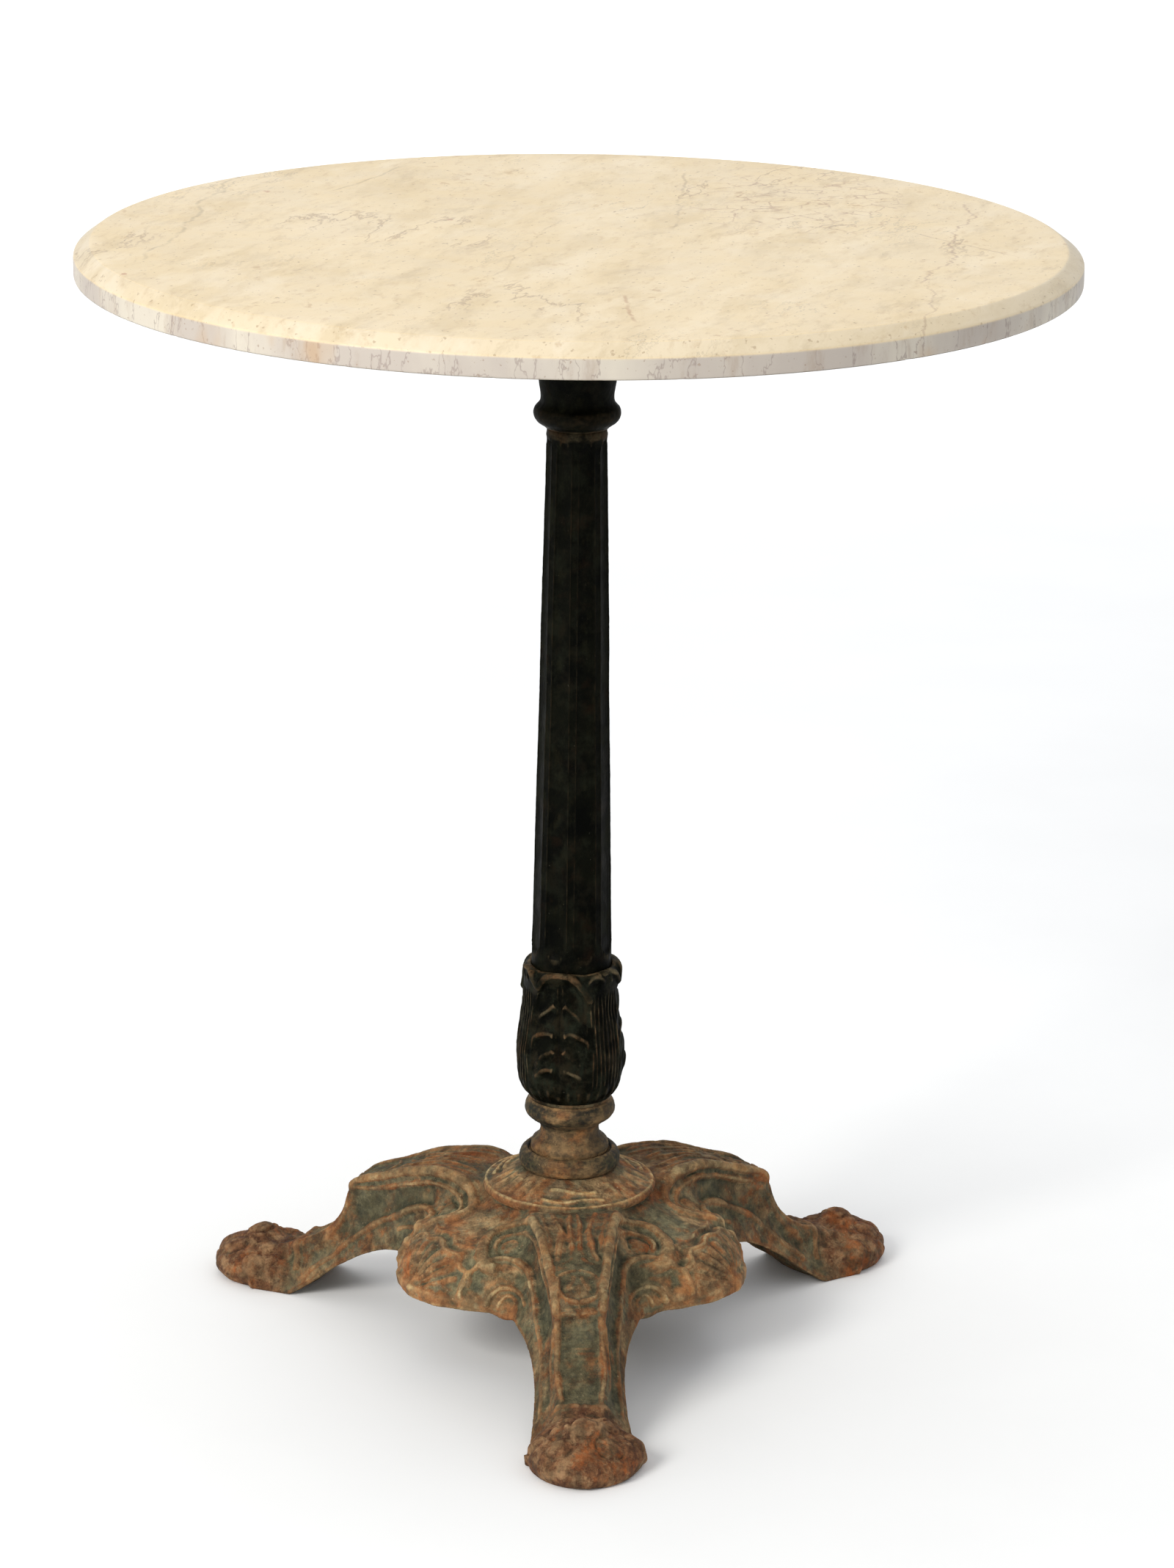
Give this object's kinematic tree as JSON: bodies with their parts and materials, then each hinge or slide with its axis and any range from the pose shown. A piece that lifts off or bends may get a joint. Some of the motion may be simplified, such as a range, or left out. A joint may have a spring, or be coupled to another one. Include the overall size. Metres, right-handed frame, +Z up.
{
  "type": "bistro table",
  "caption": "Round bistro table: bevelled marble top on a fluted cast-iron column with an acanthus cup, standing on an ornate cast-iron tripod base with scrolled legs and paw feet.",
  "frame": {"origin": "on the floor under the column axis", "axes": "+Z up along the column axis; the front leg points to -Y (0.8 degrees off it), the other two to 33.6 and 150 degrees from +X"},
  "size_m": [0.6099, 0.61, 0.712],
  "materials": {
    "marble": "polished cream marble with faint diagonal veins, honed paler edge",
    "iron_black": "aged black paint, worn to brown on the high points",
    "iron_rust": "orange-brown rust with grey-green remains of paint in the hollows",
    "iron_plain": "plain dark cast iron, unpolished, under the top",
    "steel": "zinc-plated steel, dulled",
    "brass": "turned brass",
    "cork": "pressed cork sheet"
  },
  "bodies": {
    "root": {"marble_top": "marble", "marble_anchors": "brass", "cork_pads": "cork", "top_spider": "iron_plain", "spider_screws": "steel", "screw_washers": "steel", "capital_collar": "iron_black", "fluted_column": "iron_black", "acanthus_cup": "iron_black", "neck_knop": "iron_rust", "base_torus": "iron_rust", "tripod_base": "iron_rust", "tie_rod": "steel", "top_nut": "steel", "top_washer": "steel", "bottom_plate_washer": "steel", "bottom_lock_washer": "steel", "bottom_nut": "steel"}
  },
  "joints": []
}
